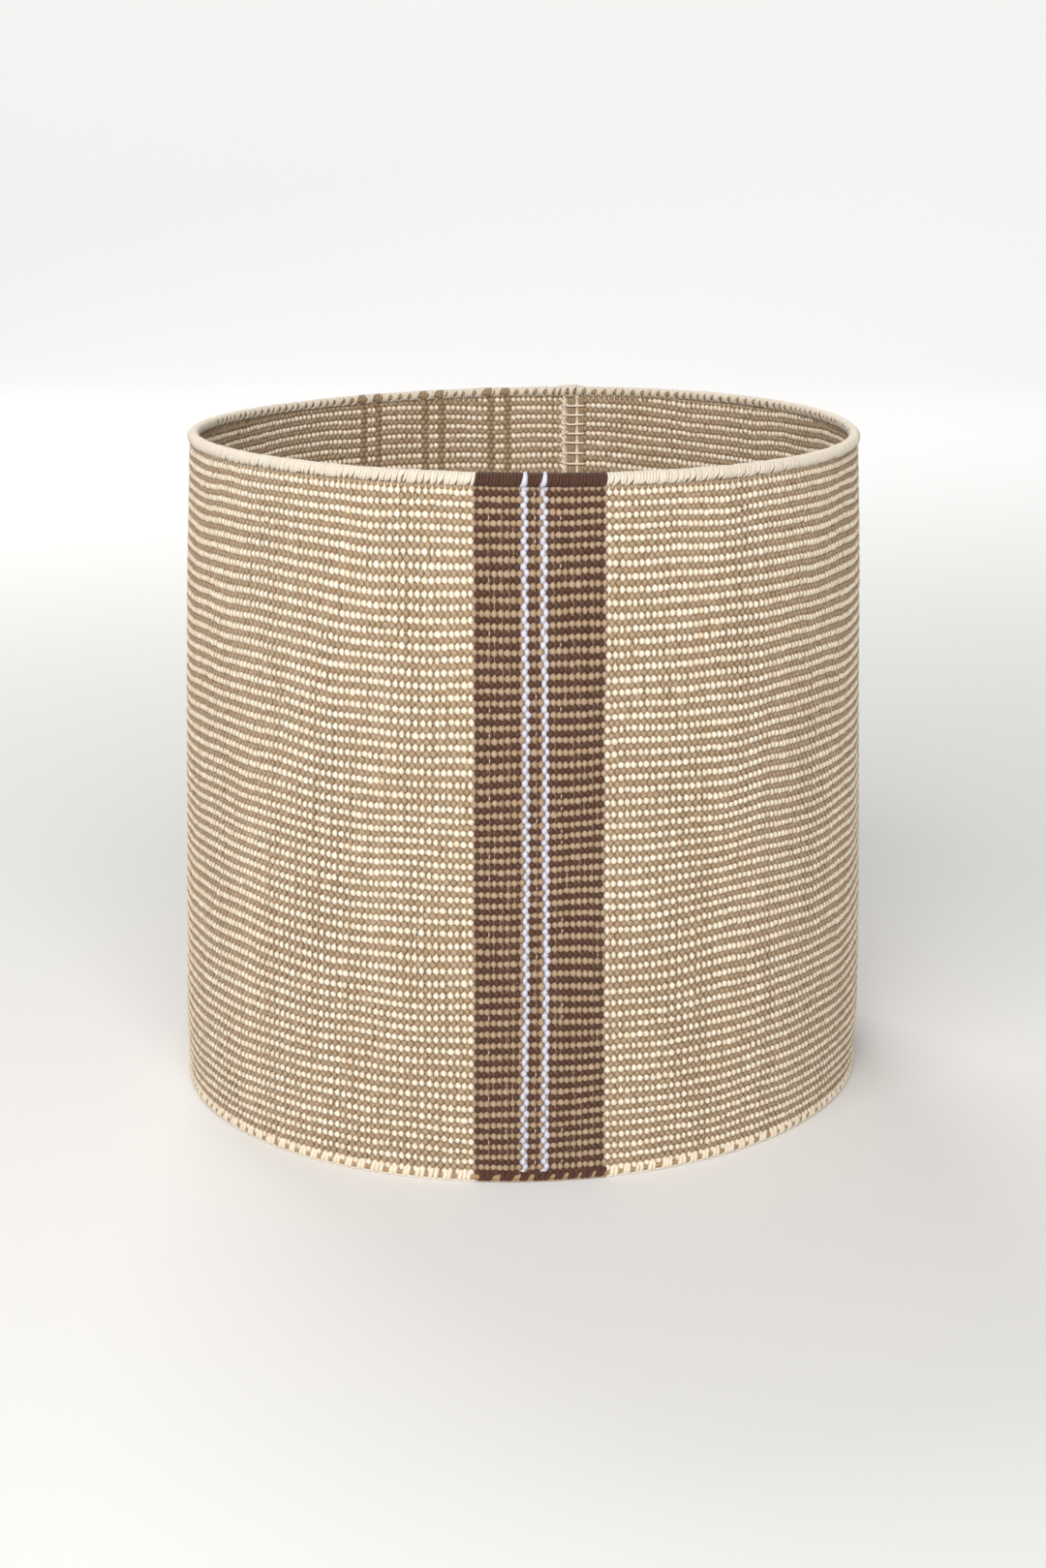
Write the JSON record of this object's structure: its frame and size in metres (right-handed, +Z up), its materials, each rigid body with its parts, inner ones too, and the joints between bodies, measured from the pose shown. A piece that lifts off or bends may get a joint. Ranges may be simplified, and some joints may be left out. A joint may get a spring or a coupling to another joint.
{
  "type": "woven floor basket",
  "caption": "Round open floor basket of warp-faced cloth with a dark front stripe, white threads, a rolled rim, a corded foot and a laced back seam.",
  "frame": {"origin": "middle of the underside, on the ground", "axes": "+Z up along the basket's axis, -Y towards the front with the dark stripe, +X to the right seen from the front"},
  "size_m": [0.3529, 0.353, 0.3279],
  "materials": {
    "cream_yarn": "matt twisted yarn",
    "two_tone_cloth": "matt warp-faced weave, cream and tan",
    "tan_yarn": "matt twisted yarn",
    "brown_yarn": "matt warp-faced weave, dark brown and tan",
    "white_yarn": "slightly glossy yarn",
    "core_cord": "rough twisted cord",
    "base_cloth": "matt coiled weave"
  },
  "bodies": {
    "root": {"base_cloth": "base_cloth", "foot_binding": "cream_yarn", "foot_cord": "core_cord", "foot_stripe": "brown_yarn", "ground_cloth_back_1": "two_tone_cloth", "ground_cloth_back_2": "two_tone_cloth", "ground_cloth_back_3": "two_tone_cloth", "ground_cloth_back_4": "two_tone_cloth", "ground_cloth_back_5": "two_tone_cloth", "ground_cloth_back_6": "two_tone_cloth", "ground_cloth_left": "two_tone_cloth", "ground_cloth_right": "two_tone_cloth", "pinstripe_yarn_1": "tan_yarn", "pinstripe_yarn_2": "tan_yarn", "pinstripe_yarn_3": "tan_yarn", "pinstripe_yarn_4": "tan_yarn", "pinstripe_yarn_5": "tan_yarn", "pinstripe_yarn_6": "tan_yarn", "rim_binding_back_1": "cream_yarn", "rim_binding_back_2": "cream_yarn", "rim_binding_back_3": "cream_yarn", "rim_binding_back_4": "cream_yarn", "rim_binding_back_5": "cream_yarn", "rim_binding_back_6": "cream_yarn", "rim_binding_left": "cream_yarn", "rim_binding_right": "cream_yarn", "rim_cord": "core_cord", "rim_join_wrap": "cream_yarn", "rim_pinstripe_1": "tan_yarn", "rim_pinstripe_2": "tan_yarn", "rim_pinstripe_3": "tan_yarn", "rim_pinstripe_4": "tan_yarn", "rim_pinstripe_5": "tan_yarn", "rim_pinstripe_6": "tan_yarn", "rim_stripe_left": "brown_yarn", "rim_stripe_middle": "brown_yarn", "rim_stripe_right": "brown_yarn", "rim_white_left": "white_yarn", "rim_white_right": "white_yarn", "seam_cord_left": "cream_yarn", "seam_cord_right": "cream_yarn", "seam_lacing": "tan_yarn", "stripe_cloth_left": "brown_yarn", "stripe_cloth_middle": "brown_yarn", "stripe_cloth_right": "brown_yarn", "white_yarn_left": "white_yarn", "white_yarn_right": "white_yarn"}
  },
  "joints": []
}
